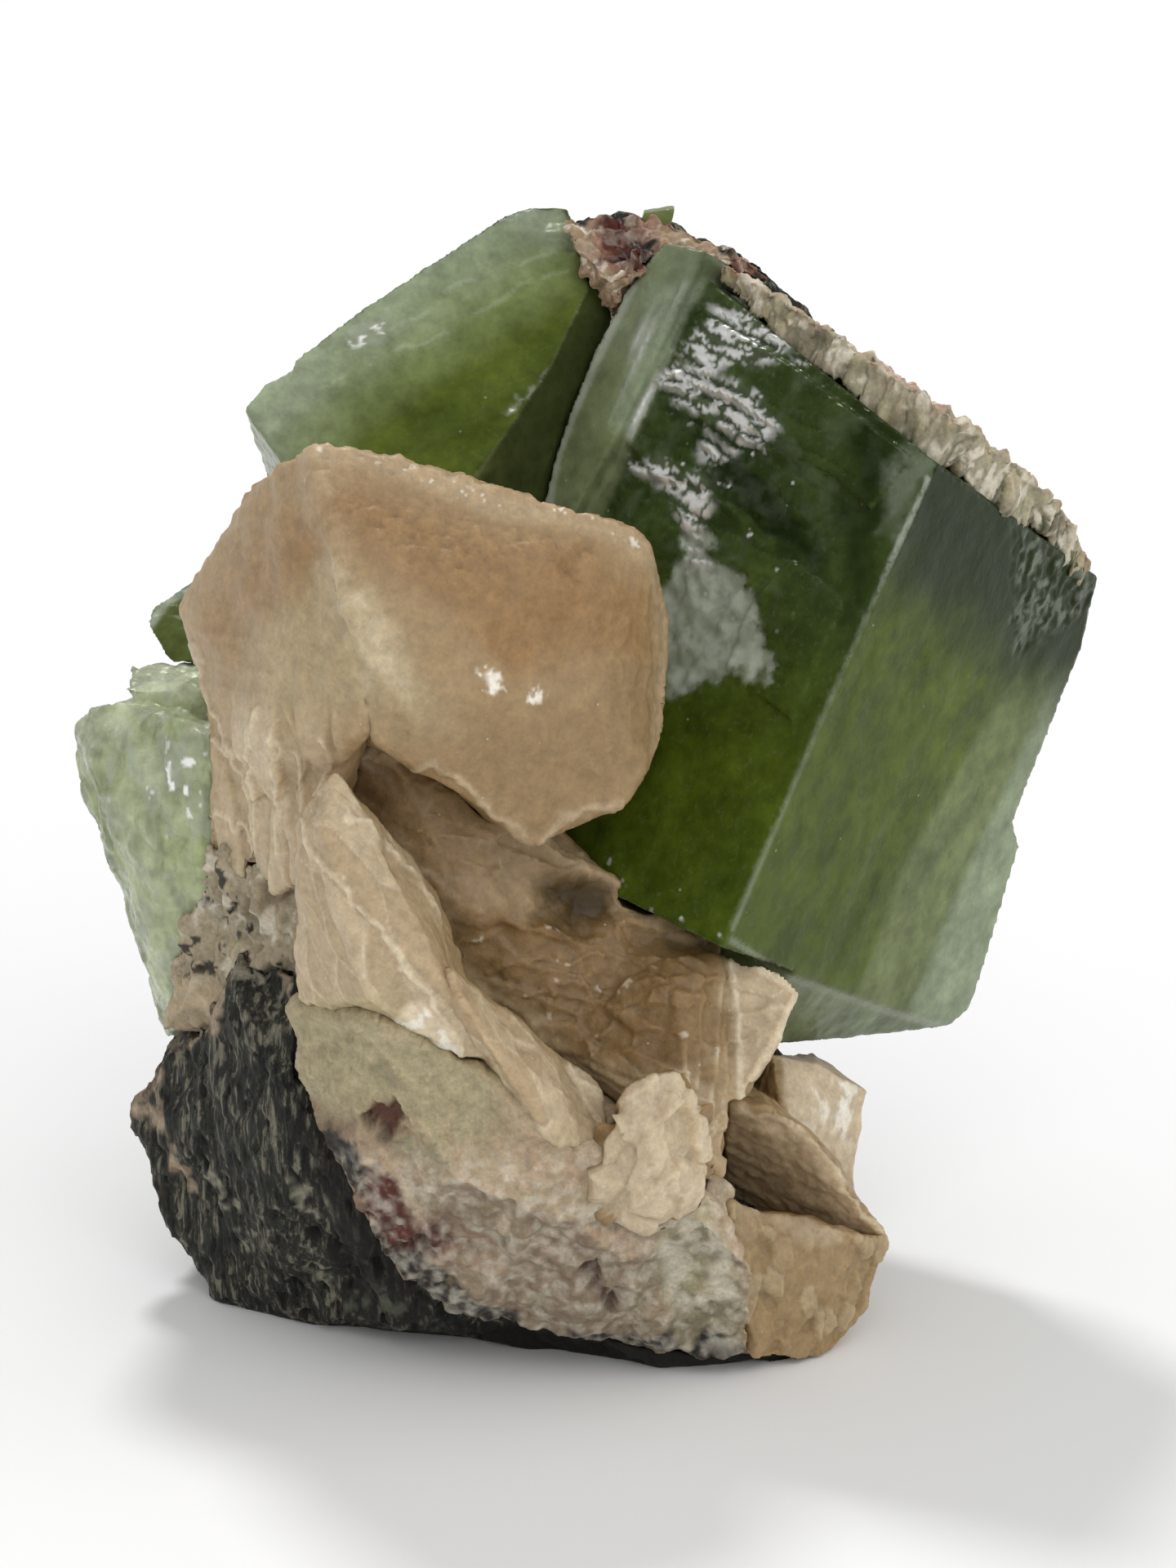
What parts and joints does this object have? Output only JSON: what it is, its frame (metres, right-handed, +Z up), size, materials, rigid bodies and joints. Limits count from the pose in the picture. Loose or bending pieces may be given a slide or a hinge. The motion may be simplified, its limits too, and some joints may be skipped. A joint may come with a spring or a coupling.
{
  "type": "apophyllite crystal specimen",
  "caption": "Loose mineral specimen of green apophyllite and peach stilbite crystals on dark basalt, resting on its flat foot.",
  "frame": {"origin": "middle of the specimen's footprint, at the height of its flat foot", "axes": "+Z up, +X to the right as seen from the front, +Y away from the front"},
  "size_m": [0.0804, 0.059, 0.0845],
  "materials": {
    "apophyllite green": "glassy, see-through",
    "apophyllite pale green": "glassy, see-through",
    "stilbite peach": "pearly",
    "druse cream": "granular",
    "crust pink": "granular",
    "basalt black": "rough, broken"
  },
  "bodies": {
    "root": {"apophyllite_main": "apophyllite green", "apophyllite_upper_left": "apophyllite pale green", "apophyllite_lower_left": "apophyllite pale green", "apophyllite_small_left": "apophyllite green", "apophyllite_tiny_top": "apophyllite green", "stilbite_crown": "stilbite peach", "stilbite_ridge": "stilbite peach", "stilbite_bowl": "stilbite peach", "stilbite_right": "stilbite peach", "drusy_crust": "druse cream", "peak_crust": "crust pink", "upper_crust": "druse cream", "basalt_matrix": "basalt black"}
  },
  "joints": []
}
